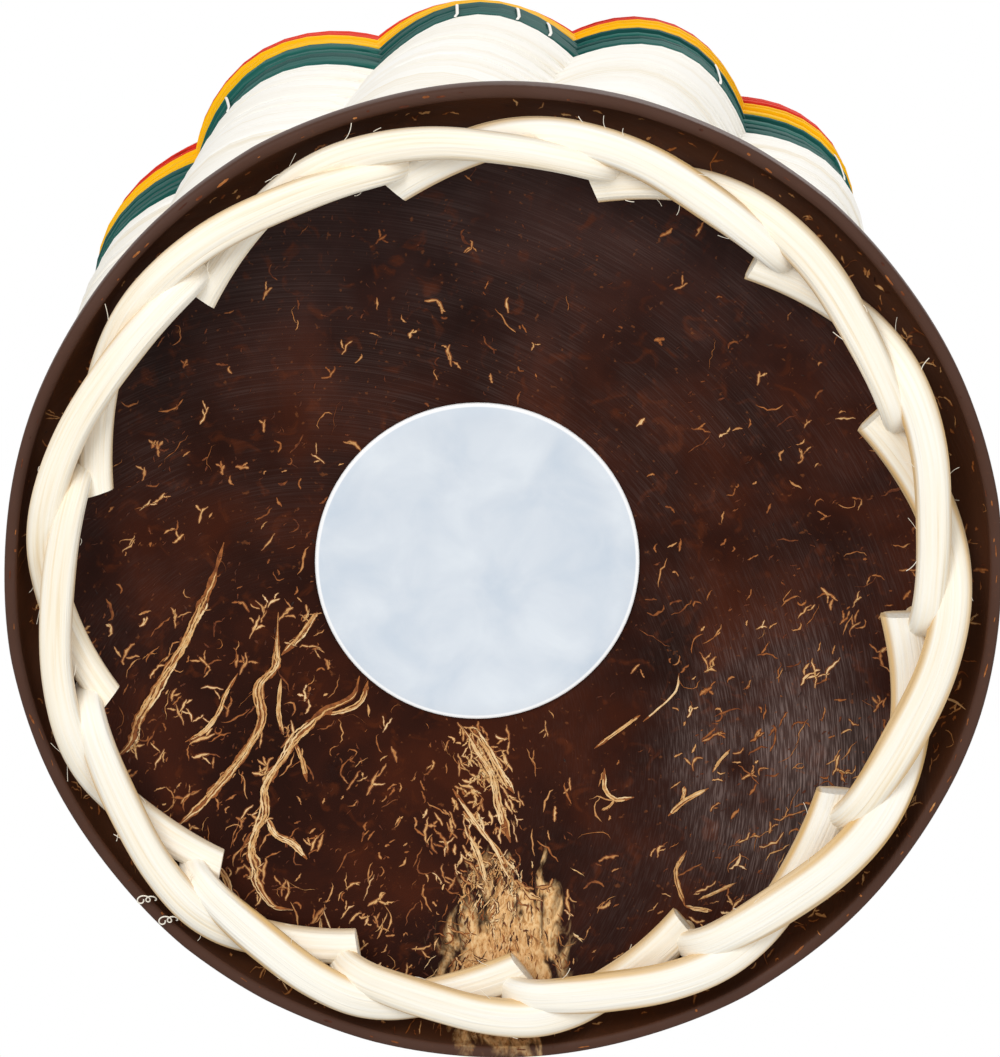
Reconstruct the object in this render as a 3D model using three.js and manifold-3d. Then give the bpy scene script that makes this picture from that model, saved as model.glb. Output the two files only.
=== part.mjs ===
// A caxixi: a woven, seed-filled basket shaker on a coconut-shell base, with a braided cane border
// and a finger loop. Millimetres, +Z up. It stands on the braided border, and the origin is the middle
// of that ring, on the table.

import * as THREE from 'three';
import Module from 'manifold-3d';
import { mergeVertices } from 'three/addons/utils/BufferGeometryUtils.js';

const wasm = await Module();
wasm.setup();

// Driving dimensions: clearance between pieces that touch
const clearance = 0.3;

// Driving dimensions: canes
const stakeCount = 13;
const stakeDiameter = 3.2;
const stakeSides = 8;
const holeInset = 7.8;
const holeCircleOffset = 0.7;
const firstStakeAngle = THREE.MathUtils.degToRad(106.5);
const holeWander = [
  { waves: 1, size: THREE.MathUtils.degToRad(4.7), start: THREE.MathUtils.degToRad(-97) },
  { waves: 2, size: THREE.MathUtils.degToRad(3), start: THREE.MathUtils.degToRad(165) },
];
const borderRun = 2.06;
const dipStart = 0.9;
const dipEnd = 1.3;
const caneLean = 0.37;
const bendRadius = 2.6;

// Driving dimensions: coconut shell
const shellDiameter = 105;
const shellThickness = 3.6;
const shellDepth = 9.2;
const shellFloorRadius = 212;
const rimWidth = 1.3;
const rimBevel = 0.4;
const rimEdgeHeight = 2.4;
const rimWallRun = 3.6;
const shellSegments = stakeCount * 3;

// Driving dimensions: round label on the shell
const labelDiameter = 34.4;
const labelThickness = 0.4;
const labelOffset = 2.7;
const labelSegments = 32;

// Driving dimensions: woven wall
const basketInset = 2.1;
const basketTuck = 1.6;
const bulgeHeight = 30;
const neckRadius = 17;
const neckHeight = 165;
const wallCurve = 3;
const weaveThickness = 1.5;
const lobeDepth = 3.4;
const lobeSteps = 6;
const creamLowerTop = 69;
const greenHeight = 17;
const yellowHeight = 11;
const redHeight = 11;
const rowSquash = 0.1;
const squashRise = 8;
const squashFade = 32;
const bindingHeight = 8;
const bindingThickness = 0.9;
const bindingTurns = 4;
const bindingSteps = 3;

// Driving dimensions: crown and finger loop
const crownRadius = 17.5;
const crownEdge = 4;
const crownRise = 3;
const handleDiameter = 8;
const handleFootSpacing = 14;
const handleFootDepth = 3;
const loopRadius = 20;
const loopNeck = 5;
const loopOpening = 0.8;
const wrapThickness = 1.2;
const handleSides = 8;
const handleSteps = 28;

// Driving dimensions: seeds
const seedRadius = 3.4;
const seedRings = [{ count: 4, share: 0.31 }, { count: 6, share: 0.67 }];
const seedStretch = new THREE.Vector3(1.15, 1, 0.85);

// Sizes that follow from the driving dimensions
const stakeRadius = stakeDiameter / 2;
const stakePitch = (2 * Math.PI) / stakeCount;
const strandStep = stakeDiameter + clearance;
const holeCircleRadius = shellDiameter / 2 - holeInset;
const basketRadius = shellDiameter / 2 - basketInset;
const overLevel = stakeRadius * Math.cos(Math.PI / stakeSides);
const underLevel = overLevel + strandStep;
const borderOuterRadius = holeCircleRadius + strandStep;
const rimInnerRadius = shellDiameter / 2 - rimWidth;
const floorEdgeRadius = rimInnerRadius - rimWallRun;
const shellSag = (radius) => shellFloorRadius - Math.sqrt(shellFloorRadius ** 2 - radius ** 2);
const floorApex = underLevel + stakeRadius + clearance + shellSag(borderOuterRadius - stakeRadius);
const rimHeight = floorApex - shellDepth;
const floorHeight = (radius) => floorApex - shellSag(radius);
const topHeight = (radius) => floorHeight(radius) + shellThickness;
const leanStart = topHeight(holeCircleRadius) + stakeRadius;
const weaveFootRadius = basketRadius - basketTuck - lobeDepth - weaveThickness;
const weaveStart = topHeight(weaveFootRadius) + clearance;
const greenTop = creamLowerTop + greenHeight;
const yellowTop = greenTop + yellowHeight;
const redTop = yellowTop + redHeight;
const squashTop = redTop + squashRise;
const stakeInset = weaveThickness + clearance + stakeRadius;
const handleRadius = handleDiameter / 2;
const crownBase = neckHeight + clearance;
const crownTop = crownBase + crownEdge + crownRise;
const loopCentre = crownTop + loopNeck + loopRadius;

// Materials
const material = (color, roughness) => new THREE.MeshStandardMaterial({ color, roughness, metalness: 0 });
const shellMaterial = material(0x2e1a14, 0.4);
const labelMaterial = material(0xdfe8f0, 0.3);
const caneMaterial = material(0xf3e3c0, 0.7);
const creamMaterial = material(0xf5ecd8, 0.75);
const greenMaterial = material(0x17504a, 0.7);
const yellowMaterial = material(0xf6ab0c, 0.7);
const redMaterial = material(0xdf3524, 0.7);
const seedMaterial = material(0x6b5138, 0.6);

// Geometry helpers
function weld(geometry) {
  geometry.deleteAttribute('normal');
  geometry.deleteAttribute('uv');
  const merged = mergeVertices(geometry, 1e-4);
  const corners = merged.index.array;
  const kept = [];
  for (let i = 0; i < corners.length; i += 3) {
    const [a, b, c] = [corners[i], corners[i + 1], corners[i + 2]];
    if (a !== b && b !== c && c !== a) kept.push(a, b, c);
  }
  merged.setIndex(kept);
  return merged;
}

function indexedGeometry(vertices, triangles) {
  const geometry = new THREE.BufferGeometry();
  geometry.setAttribute('position', new THREE.Float32BufferAttribute(vertices, 3));
  geometry.setIndex(triangles);
  return geometry;
}

function toSolid(geometry) {
  const vertProperties = new Float32Array(geometry.getAttribute('position').array);
  const triVerts = new Uint32Array(geometry.index.array);
  return new wasm.Manifold(new wasm.Mesh({ numProp: 3, vertProperties, triVerts }));
}

function toGeometry(solid) {
  const mesh = solid.getMesh();
  return indexedGeometry(Array.from(mesh.vertProperties), Array.from(mesh.triVerts));
}

function drill(geometry, holes, radius, low, high, sides) {
  let solid = toSolid(geometry);
  for (const hole of holes) {
    const bit = new THREE.CylinderGeometry(radius, radius, high - low, sides);
    bit.rotateX(Math.PI / 2);
    bit.translate(hole.x, hole.y, (low + high) / 2);
    solid = solid.subtract(toSolid(weld(bit)));
  }
  return toGeometry(solid);
}

// A profile of [radius, height] pairs, from the axis on the underside round to the axis on top
function revolve(profile, segments) {
  const points = profile.map(([radius, height]) => new THREE.Vector2(radius, height));
  const geometry = new THREE.LatheGeometry(points, segments);
  geometry.rotateX(Math.PI / 2);
  return weld(geometry);
}

// A round bar along a list of points, with flat ends and, where a bore is given, a hole right through
function sweep(points, radius, sides, reference, bore = 0) {
  const radii = bore > 0 ? [radius, bore] : [radius];
  const vertices = [];
  points.forEach((point, i) => {
    const before = points[Math.max(i - 1, 0)];
    const after = points[Math.min(i + 1, points.length - 1)];
    const along = after.clone().sub(before).normalize();
    const across = along.clone().cross(reference(point, along)).normalize();
    const up = along.clone().cross(across).normalize();
    for (const ringRadius of radii) {
      for (let side = 0; side < sides; side += 1) {
        const angle = ((side + 0.5) * 2 * Math.PI) / sides;
        const corner = point.clone();
        corner.addScaledVector(across, ringRadius * Math.cos(angle));
        corner.addScaledVector(up, ringRadius * Math.sin(angle));
        vertices.push(corner.x, corner.y, corner.z);
      }
    }
  });
  const ring = sides * radii.length;
  const last = (points.length - 1) * ring;
  const triangles = [];
  const quad = (a, b, c, d) => triangles.push(a, b, c, a, c, d);
  for (let side = 0; side < sides; side += 1) {
    const next = (side + 1) % sides;
    for (let start = 0; start < last; start += ring) {
      quad(start + side, start + next, start + ring + next, start + ring + side);
      if (bore > 0) {
        const inner = start + sides;
        quad(inner + next, inner + side, inner + ring + side, inner + ring + next);
      }
    }
    if (bore > 0) {
      quad(side, sides + side, sides + next, next);
      quad(last + side, last + next, last + sides + next, last + sides + side);
    } else if (side > 0 && next > 0) {
      triangles.push(0, next, side);
      triangles.push(last, last + side, last + next);
    }
  }
  return indexedGeometry(vertices, triangles);
}

// Angle of a cane, or of a place between two canes, counted the way the border runs, seen from below.
// The holes are drilled by hand, so they stand closer together on one side.
function stakeAngle(position) {
  const turn = position * stakePitch;
  let angle = firstStakeAngle + turn;
  for (const { waves, size, start } of holeWander) {
    angle += size * Math.cos(waves * turn + start);
  }
  return angle;
}

// Part of the step between two canes by which the canes, and the wall with them, lean round on their way up
function lean(height) {
  const share = (height - leanStart) / (creamLowerTop - leanStart);
  return caneLean * THREE.MathUtils.clamp(share, 0, 1);
}

// Shape of the basket
function wallRadius(height) {
  if (height < bulgeHeight) {
    const share = (bulgeHeight - height) / (bulgeHeight - weaveStart);
    return basketRadius - basketTuck * share ** 2;
  }
  const share = (height - bulgeHeight) / (neckHeight - bulgeHeight);
  return basketRadius - (basketRadius - neckRadius) * share ** wallCurve;
}

// How much wider than deep the wall is: the coloured rows are pressed a little out of round
function squash(height) {
  const rise = THREE.MathUtils.smoothstep(height, creamLowerTop, squashTop);
  const fade = THREE.MathUtils.smoothstep(height, squashTop, squashTop + squashFade);
  return 1 + rowSquash * rise * (1 - fade);
}

function lobedRadius(height, lobe) {
  const radius = wallRadius(height);
  return radius - (lobeDepth * (1 - lobe) * radius) / basketRadius;
}

// A closed ring of wall between two heights; each row bulges over the canes and creases between them
function wallRing(low, high, rows, steps, outerAt, innerAt) {
  const around = stakeCount * steps;
  const vertices = [];
  for (let row = 0; row <= rows; row += 1) {
    const height = low + ((high - low) * row) / rows;
    for (const radiusAt of [outerAt, innerAt]) {
      for (let i = 0; i < around; i += 1) {
        const lobe = Math.abs(Math.cos((Math.PI * i) / steps));
        const angle = -stakeAngle(-i / steps - lean(height));
        const radius = radiusAt(height, lobe);
        vertices.push(radius * Math.cos(angle) * squash(height), radius * Math.sin(angle), height);
      }
    }
  }
  const ring = 2 * around;
  const top = rows * ring;
  const triangles = [];
  const quad = (a, b, c, d) => triangles.push(a, b, c, a, c, d);
  for (let i = 0; i < around; i += 1) {
    const next = (i + 1) % around;
    for (let start = 0; start < top; start += ring) {
      const inner = start + around;
      quad(start + i, start + next, start + ring + next, start + ring + i);
      quad(inner + next, inner + i, inner + ring + i, inner + ring + next);
    }
    quad(i, around + i, around + next, next);
    quad(top + i, top + next, top + around + next, top + around + i);
  }
  return indexedGeometry(vertices, triangles);
}

// A point beside or on the border; the ring of holes stands a little to one side of the axis
function borderPoint(position, radius, height, offset) {
  const angle = stakeAngle(position);
  const x = radius * Math.cos(angle) * squash(height) - offset;
  return new THREE.Vector3(x, -radius * Math.sin(angle), height);
}

// The border run: out to pass outside the next cane, then in under the one that crosses it, to the inside
function borderRadius(run) {
  if (run < 1) return holeCircleRadius + strandStep * THREE.MathUtils.smoothstep(run, bendRun, 1);
  return holeCircleRadius + strandStep * Math.cos(Math.PI * Math.min(run - 1, 1));
}

function borderLevel(run) {
  return overLevel + strandStep * THREE.MathUtils.smoothstep(run, dipStart, dipEnd);
}

const pitchLength = stakePitch * holeCircleRadius;
const bendRun = bendRadius / pitchLength;

function stakePath(index) {
  const points = [];
  const borderSteps = 14;
  for (let step = borderSteps; step >= 0; step -= 1) {
    const run = bendRun + ((borderRun - bendRun) * step) / borderSteps;
    points.push(borderPoint(index + run, borderRadius(run), borderLevel(run), holeCircleOffset));
  }
  const bendSteps = 3;
  for (let step = bendSteps - 1; step >= 0; step -= 1) {
    const turn = (Math.PI / 2) * (step / bendSteps);
    const run = (bendRadius * (1 - Math.cos(turn))) / pitchLength;
    const level = overLevel + bendRadius * (1 - Math.sin(turn));
    points.push(borderPoint(index + run, holeCircleRadius, level, holeCircleOffset));
  }
  const joined = bulgeHeight + stakeDiameter;
  const leanSteps = 3;
  for (let step = 0; step <= leanSteps; step += 1) {
    const height = leanStart + ((joined - leanStart) * step) / leanSteps;
    const share = THREE.MathUtils.smoothstep(height, leanStart, joined);
    const wall = wallRadius(height) - stakeInset;
    const radius = THREE.MathUtils.lerp(holeCircleRadius, wall, share);
    points.push(borderPoint(index - lean(height), radius, height, holeCircleOffset * (1 - share)));
  }
  const riseSteps = 8;
  const end = neckHeight - stakeRadius;
  for (let step = 1; step <= riseSteps; step += 1) {
    const height = joined + ((end - joined) * step) / riseSteps;
    points.push(borderPoint(index - lean(height), wallRadius(height) - stakeInset, height, 0));
  }
  return points;
}

// A cane's section keeps a flat towards the table all along the border, and towards the axis up the wall
function stakeReference(point, along) {
  const level = Math.abs(along.z) < Math.SQRT1_2;
  return level ? new THREE.Vector3(0, 0, 1) : new THREE.Vector3(point.y, -point.x, 0).normalize();
}

// The object
const caxixi = new THREE.Group();

function add(name, geometry, surface, parent = caxixi) {
  const mesh = new THREE.Mesh(geometry, surface);
  mesh.name = name;
  parent.add(mesh);
  return mesh;
}

const numbered = (name, index) => `${name}_${String(index + 1).padStart(2, '0')}`;

// Coconut shell: a shallow dish, hollow side down, drilled for the canes
function shellGeometry() {
  const profile = [];
  const arcSteps = 4;
  for (let step = 0; step <= arcSteps; step += 1) {
    const radius = (floorEdgeRadius * step) / arcSteps;
    profile.push([radius, floorHeight(radius)]);
  }
  const wallSteps = 3;
  const wallDrop = floorHeight(floorEdgeRadius) - rimHeight;
  for (let step = 1; step <= wallSteps; step += 1) {
    const turn = (Math.PI / 2) * (step / wallSteps);
    profile.push([floorEdgeRadius + rimWallRun * Math.sin(turn), rimHeight + wallDrop * Math.cos(turn)]);
  }
  const edge = shellDiameter / 2;
  profile.push([edge - rimBevel, rimHeight]);
  profile.push([edge, rimHeight + rimBevel]);
  const shoulderSteps = 3;
  const shoulderRun = edge - floorEdgeRadius;
  const shoulderLow = rimHeight + rimEdgeHeight;
  const shoulderRise = topHeight(floorEdgeRadius) - shoulderLow;
  for (let step = 0; step <= shoulderSteps; step += 1) {
    const turn = (Math.PI / 2) * (step / shoulderSteps);
    const radius = floorEdgeRadius + shoulderRun * Math.cos(turn);
    profile.push([radius, shoulderLow + shoulderRise * Math.sin(turn)]);
  }
  for (let step = arcSteps - 1; step >= 0; step -= 1) {
    const radius = (floorEdgeRadius * step) / arcSteps;
    profile.push([radius, topHeight(radius)]);
  }
  const holes = [];
  for (let i = 0; i < stakeCount; i += 1) {
    holes.push(borderPoint(i, holeCircleRadius, 0, holeCircleOffset));
  }
  const holeSides = 8;
  const holeRadius = (stakeRadius + clearance) / Math.cos(Math.PI / holeSides);
  return drill(revolve(profile, shellSegments), holes, holeRadius, 0, floorApex + shellThickness, holeSides);
}

add('shell_base', shellGeometry(), shellMaterial);

// Label: a thin disc bent to the hollow of the shell, set a little to one side
function labelGeometry() {
  const outer = shellFloorRadius - clearance;
  const profile = [];
  const steps = 2;
  for (const radius of [outer - labelThickness, outer]) {
    for (let step = 0; step <= steps; step += 1) {
      const share = radius === outer ? steps - step : step;
      const turn = (labelDiameter / 2 / shellFloorRadius) * (share / steps);
      profile.push([radius * Math.sin(turn), radius * Math.cos(turn)]);
    }
  }
  return revolve(profile, labelSegments);
}

const label = add('label_disc', labelGeometry(), labelMaterial);
label.position.z = floorApex - shellFloorRadius;
label.rotation.y = -labelOffset / shellFloorRadius;

// Canes and their braided border
for (let i = 0; i < stakeCount; i += 1) {
  add(numbered('stake', i), sweep(stakePath(i), stakeRadius, stakeSides, stakeReference), caneMaterial);
}

// Woven wall, one ring for each run of one colour
const bindingLow = neckHeight - bindingHeight;
const weaves = [
  { name: 'weave_cream_lower', low: weaveStart, high: creamLowerTop, rows: 4, surface: creamMaterial },
  { name: 'weave_green', low: creamLowerTop, high: greenTop, rows: 1, surface: greenMaterial },
  { name: 'weave_yellow', low: greenTop, high: yellowTop, rows: 1, surface: yellowMaterial },
  { name: 'weave_red', low: yellowTop, high: redTop, rows: 1, surface: redMaterial },
  { name: 'weave_cream_upper', low: redTop, high: bindingLow, rows: 5, surface: creamMaterial },
];
const weaveInner = (height, lobe) => lobedRadius(height, lobe) - weaveThickness;
for (const { name, low, high, rows, surface } of weaves) {
  add(name, wallRing(low, high - clearance, rows, lobeSteps, lobedRadius, weaveInner), surface);
}

// Neck binding: turns of cane drawn round the neck
const bindingTurn = bindingHeight / bindingTurns;
const bindingRoll = (height) => Math.abs(Math.sin((Math.PI * (height - bindingLow)) / bindingTurn));
const bindingOuter = (height) => wallRadius(height) + bindingThickness * bindingRoll(height);
const bindingInner = (height) => wallRadius(height) - weaveThickness;
const bindingRows = 2 * bindingTurns;
const binding = wallRing(bindingLow, neckHeight, bindingRows, bindingSteps, bindingOuter, bindingInner);
add('neck_binding', binding, caneMaterial);

// Crown: a domed cap on the neck, with a hole for each foot of the finger loop
function crownGeometry() {
  const profile = [[0, crownBase], [crownRadius, crownBase]];
  const steps = 4;
  for (let step = 0; step <= steps; step += 1) {
    const turn = (Math.PI / 2) * (step / steps);
    profile.push([crownRadius * Math.cos(turn), crownBase + crownEdge + crownRise * Math.sin(turn)]);
  }
  const feet = [-1, 1].map((side) => new THREE.Vector2((side * handleFootSpacing) / 2, 0));
  const sides = 16;
  const holeRadius = (handleRadius + clearance) / Math.cos(Math.PI / sides);
  const cap = revolve(profile, shellSegments);
  return drill(cap, feet, holeRadius, crownBase - crownEdge, crownTop + crownEdge, sides);
}

add('crown', crownGeometry(), creamMaterial);

// Finger loop: a bent bundle whose feet pass through the crown, and the wrapping round it
const footX = handleFootSpacing / 2;
const loopStart = -Math.acos(footX / loopRadius) * loopOpening;

function loopCurve(low) {
  const points = [new THREE.Vector3(footX, 0, low), new THREE.Vector3(footX, 0, crownTop)];
  const arcSteps = 10;
  for (let step = 0; step <= arcSteps; step += 1) {
    const turn = loopStart + ((Math.PI - 2 * loopStart) * step) / arcSteps;
    points.push(new THREE.Vector3(loopRadius * Math.cos(turn), 0, loopCentre + loopRadius * Math.sin(turn)));
  }
  points.push(new THREE.Vector3(-footX, 0, crownTop), new THREE.Vector3(-footX, 0, low));
  return new THREE.CatmullRomCurve3(points, false, 'centripetal');
}

const acrossLoop = () => new THREE.Vector3(0, 1, 0);
const corePoints = loopCurve(crownBase - handleFootDepth).getSpacedPoints(handleSteps);
add('handle_core', sweep(corePoints, handleRadius, handleSides, acrossLoop), caneMaterial);

const wrapLow = crownTop + clearance;
const wrapPoints = corePoints.filter((point) => point.z > wrapLow + handleRadius);
const wrapBore = (handleRadius + clearance) / Math.cos(Math.PI / handleSides);
const wrapRadius = wrapBore + wrapThickness;
add('handle_wrap', sweep(wrapPoints, wrapRadius, handleSides, acrossLoop, wrapBore), caneMaterial);

// Seeds, lying on the shell inside the basket
let seedIndex = 0;
for (const { count, share } of seedRings) {
  const radius = holeCircleRadius * share;
  for (let i = 0; i < count; i += 1) {
    const angle = (2 * Math.PI * (i + 0.5)) / count;
    const ball = weld(new THREE.IcosahedronGeometry(seedRadius, 1));
    const seed = add(numbered('seed', seedIndex), ball, seedMaterial);
    seed.scale.copy(seedStretch);
    seed.rotation.z = angle;
    const height = topHeight(radius - seedRadius) + seedRadius * seedStretch.z + clearance;
    seed.position.set(radius * Math.cos(angle), radius * Math.sin(angle), height);
    seedIndex += 1;
  }
}

export default caxixi;
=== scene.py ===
import math
import random

import bpy
import numpy as np
from mathutils import Matrix, Vector


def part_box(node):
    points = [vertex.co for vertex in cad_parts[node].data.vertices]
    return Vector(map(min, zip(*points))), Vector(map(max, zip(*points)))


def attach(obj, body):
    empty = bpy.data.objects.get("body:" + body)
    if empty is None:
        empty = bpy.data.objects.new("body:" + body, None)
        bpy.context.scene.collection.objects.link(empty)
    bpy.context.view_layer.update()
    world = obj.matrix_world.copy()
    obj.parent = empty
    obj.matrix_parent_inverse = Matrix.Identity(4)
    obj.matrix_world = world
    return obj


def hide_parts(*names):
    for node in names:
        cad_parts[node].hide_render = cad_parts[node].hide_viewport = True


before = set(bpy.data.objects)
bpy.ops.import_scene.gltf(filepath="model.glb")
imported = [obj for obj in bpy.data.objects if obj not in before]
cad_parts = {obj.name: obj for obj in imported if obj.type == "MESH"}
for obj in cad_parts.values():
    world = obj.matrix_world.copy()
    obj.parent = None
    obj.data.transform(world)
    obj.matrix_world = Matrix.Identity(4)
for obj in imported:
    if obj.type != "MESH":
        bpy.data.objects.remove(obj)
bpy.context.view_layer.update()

scene = bpy.context.scene
MM = 0.001
FULL_TURN = 2 * math.pi
QUARTER = math.pi / 2
TINY = 1e-12
DOWN = np.array([0.0, 0.0, -1.0])
RANDOM_START = 71

# Canes and the ring of holes
STAKE_COUNT = 13
HOLE_RADIUS = 44.7 * MM
HOLE_OFFSET = 0.7 * MM
FIRST_STAKE = math.radians(106.5)
CANE_LEAN = 0.37
HOLE_WANDER = [(1, math.radians(4.7), math.radians(-97)), (2, math.radians(3), math.radians(165))]

# Coconut shell
SHELL_RADIUS = 52.5 * MM
SHELL_WALL = 3.6 * MM
SHELL_DEPTH = 9.2 * MM
FLOOR_CURVE = 212 * MM
RIM_WIDTH = 1.3 * MM
RIM_BEVEL = 0.4 * MM
RIM_EDGE_HEIGHT = 2.4 * MM
RIM_WALL_RUN = 3.6 * MM
RIM_WEAR = 0.12 * MM
RIM_WAVES = [(1, 3, 0.4), (0.6, 7, 2), (0.4, 13, 1)]

# Round label
LABEL_RADIUS = 17.2 * MM
LABEL_THICKNESS = 0.4 * MM
LABEL_OFFSET = 2.7 * MM
LABEL_GLUE = 0.05 * MM

# Woven wall
BASKET_RADIUS = 50.4 * MM
BASKET_TUCK = 1.6 * MM
BULGE_HEIGHT = 30 * MM
NECK_RADIUS = 17 * MM
WALL_CURVE = 3.2
LOBE_DEPTH = 4.2 * MM
ROW_SQUASH = 0.1
SQUASH_RISE = 8 * MM
SQUASH_FADE = 32 * MM
ROW_FULLNESS = 1.8 * MM
FLAT_PART = 0.35
SIDE_PART = (0.68, 0.92)
STRIP_HEIGHT = 4 * MM
STRIP_THICKNESS = 1.3 * MM
TUCKED_DEPTH = 0.9 * MM

# Border canes as they lie on the base
STRAND_WIDTH = 3.8 * MM
STRAND_THICKNESS = 2.7 * MM
STRAND_STEP = 3.3 * MM
STRAND_GAP = 0.05 * MM
BORDER_RUN = 2.05
STAKE_INSET = 3.4 * MM

# Sizes that follow
STAKE_PITCH = FULL_TURN / STAKE_COUNT
RIM_INSIDE = SHELL_RADIUS - RIM_WIDTH
FLOOR_EDGE = RIM_INSIDE - RIM_WALL_RUN
RIM_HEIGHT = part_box("shell_base")[0].z
FLOOR_APEX = RIM_HEIGHT + SHELL_DEPTH
WEAVE_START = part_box("weave_cream_lower")[0].z
CREAM_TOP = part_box("weave_green")[0].z
RED_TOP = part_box("weave_red")[1].z
NECK_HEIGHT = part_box("neck_binding")[1].z
CROWN_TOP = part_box("crown")[1].z
SQUASH_TOP = RED_TOP + SQUASH_RISE
STAKE_JOINED = BULGE_HEIGHT + STRAND_WIDTH
OVER = STRAND_THICKNESS / 2 + STRAND_GAP
UNDER = OVER + STRAND_STEP

rng = random.Random(RANDOM_START)
uniform = rng.uniform
gauss = rng.gauss


# Shapes
def smoothstep(value, low, high):
    share = np.clip((value - low) / (high - low), 0, 1)
    return share * share * (3 - 2 * share)


def unit(vectors):
    return vectors / np.maximum(np.linalg.norm(vectors, axis=-1, keepdims=True), TINY)


def round_turns(count):
    """Even angles, once round."""
    return np.arange(count) * FULL_TURN / count


def polar(radius, turn, height):
    """Points at a distance and an angle about the axis."""
    return np.stack([radius * np.cos(turn), radius * np.sin(turn), height], 1)


def heading_to(turn):
    return np.array([math.cos(turn), math.sin(turn)])


def run_lengths(path):
    """How far along a path each of its points lies."""
    return np.concatenate([[0], np.cumsum(np.linalg.norm(np.diff(path, axis=0), axis=1))])


def stake_angle(position):
    turn = np.asarray(position, dtype=float) * STAKE_PITCH
    wander = sum(size * np.cos(waves * turn + start) for waves, size, start in HOLE_WANDER)
    return FIRST_STAKE + turn + wander


def floor_height(radius):
    return FLOOR_APEX - (FLOOR_CURVE - np.sqrt(FLOOR_CURVE ** 2 - radius ** 2))


EDGE_HEIGHT = float(floor_height(FLOOR_EDGE))
LEAN_START = float(floor_height(HOLE_RADIUS)) + SHELL_WALL


def under_height(radius):
    """Height of the shell's underside, over its floor and wall."""
    across = np.clip((radius - FLOOR_EDGE) / RIM_WALL_RUN, 0, 1)
    wall = RIM_HEIGHT + (EDGE_HEIGHT - RIM_HEIGHT) * np.sqrt(1 - across ** 2)
    floor = floor_height(np.minimum(radius, FLOOR_EDGE))
    return np.where(radius < FLOOR_EDGE, floor, wall)


def unevenness(radius, turn):
    """How far the worn rim waves up and down."""
    waves = sum(size * np.sin(count * turn + start) for size, count, start in RIM_WAVES)
    return smoothstep(radius, FLOOR_EDGE, RIM_INSIDE) * RIM_WEAR * waves


def on_shell(plan, lift):
    """Points just off the shell's underside, and the way it faces there."""
    radius = np.hypot(plan[:, 0], plan[:, 1])
    turn = np.arctan2(plan[:, 1], plan[:, 0])
    wave = unevenness(radius, turn)
    step = 0.05 * MM
    slope = (under_height(radius + step) - under_height(radius - step)) / (2 * step)
    normals = unit(polar(slope, turn, np.full(len(plan), -1.0)))
    return polar(radius - np.abs(wave), turn, under_height(radius) + wave) + normals * lift, normals


def lean(height):
    """How far the wall has turned at a height, in steps from cane to cane."""
    return CANE_LEAN * np.clip((height - LEAN_START) / (CREAM_TOP - LEAN_START), 0, 1)


def wall_radius(height):
    below = (BULGE_HEIGHT - height) / (BULGE_HEIGHT - WEAVE_START)
    above = np.maximum((height - BULGE_HEIGHT) / (NECK_HEIGHT - BULGE_HEIGHT), 0)
    low = BASKET_RADIUS - BASKET_TUCK * below ** 2
    high = BASKET_RADIUS - (BASKET_RADIUS - NECK_RADIUS) * above ** WALL_CURVE
    return np.where(height < BULGE_HEIGHT, low, high)


def wall_slope(height):
    step = 0.1 * MM
    return (wall_radius(height + step) - wall_radius(height - step)) / (2 * step)


def pressed(height):
    """How strongly the wall is pressed out of round: most just above the coloured rows."""
    fade = smoothstep(height, SQUASH_TOP, SQUASH_TOP + SQUASH_FADE)
    return smoothstep(height, CREAM_TOP, SQUASH_TOP) * (1 - fade)


def squash(height):
    """How much wider than deep the wall is."""
    return 1 + ROW_SQUASH * pressed(height)


def fullness(height, angle):
    """How far the wall swells between its flattened front and back and its sides."""
    sideways = np.abs(np.cos(angle))
    swell = smoothstep(sideways, 0, FLAT_PART) * (1 - smoothstep(sideways, *SIDE_PART))
    return ROW_FULLNESS * pressed(height) * swell


def smooth_path(points, steps):
    """A smooth curve through points, with so many steps from each to the next."""
    knots = np.array(points, dtype=float)
    padded = np.vstack([2 * knots[0] - knots[1], knots, 2 * knots[-1] - knots[-2]])
    share = np.arange(steps)[:, None] / steps
    pieces = []
    for before, start, end, after in zip(padded, padded[1:], padded[2:], padded[3:]):
        bend = 2 * before - 5 * start + 4 * end - after
        turn = 3 * (start - end) + after - before
        pieces.append(start + 0.5 * share * (end - before + share * (bend + share * turn)))
    return np.vstack(pieces + [knots[-1:]])


def oval_section(width, thickness, sides, power=2.5):
    """A flattened round section, as (across, out) pairs."""
    turn = round_turns(sides)
    across = np.sign(np.cos(turn)) * np.abs(np.cos(turn)) ** (2 / power)
    out = np.sign(np.sin(turn)) * np.abs(np.sin(turn)) ** (2 / power)
    return np.stack([across * width / 2, out * thickness / 2], 1)


def add_object(name, data):
    obj = bpy.data.objects.new(name, data)
    scene.collection.objects.link(obj)
    return obj


MIDDLE_TINT = 0.5


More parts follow.
